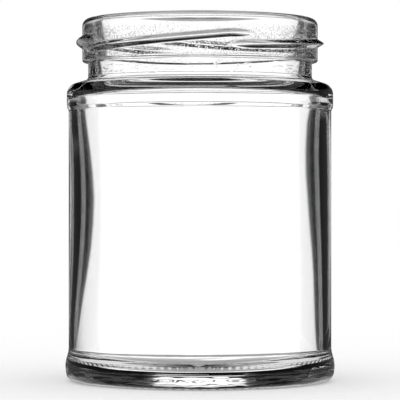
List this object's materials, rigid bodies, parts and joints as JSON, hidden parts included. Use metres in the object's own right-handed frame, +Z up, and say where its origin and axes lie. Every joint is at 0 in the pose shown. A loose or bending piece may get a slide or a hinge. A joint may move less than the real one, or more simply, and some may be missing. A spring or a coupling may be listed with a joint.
{
  "type": "panelled glass jar",
  "caption": "Empty clear glass food jar with a recessed label panel between two beads, a rounded shoulder, a lugged twist-off finish and a knurled base ring.",
  "frame": {"origin": "centre of the bearing ring, on the plane that the jar stands on", "axes": "+Z up the jar's axis of revolution, -Y towards the viewer"},
  "size_m": [0.0744, 0.0744, 0.0998],
  "materials": {
    "clear_glass": "clear colourless soda-lime glass, smooth, open at the top"
  },
  "bodies": {
    "root": {"jar": "clear_glass"}
  },
  "joints": []
}
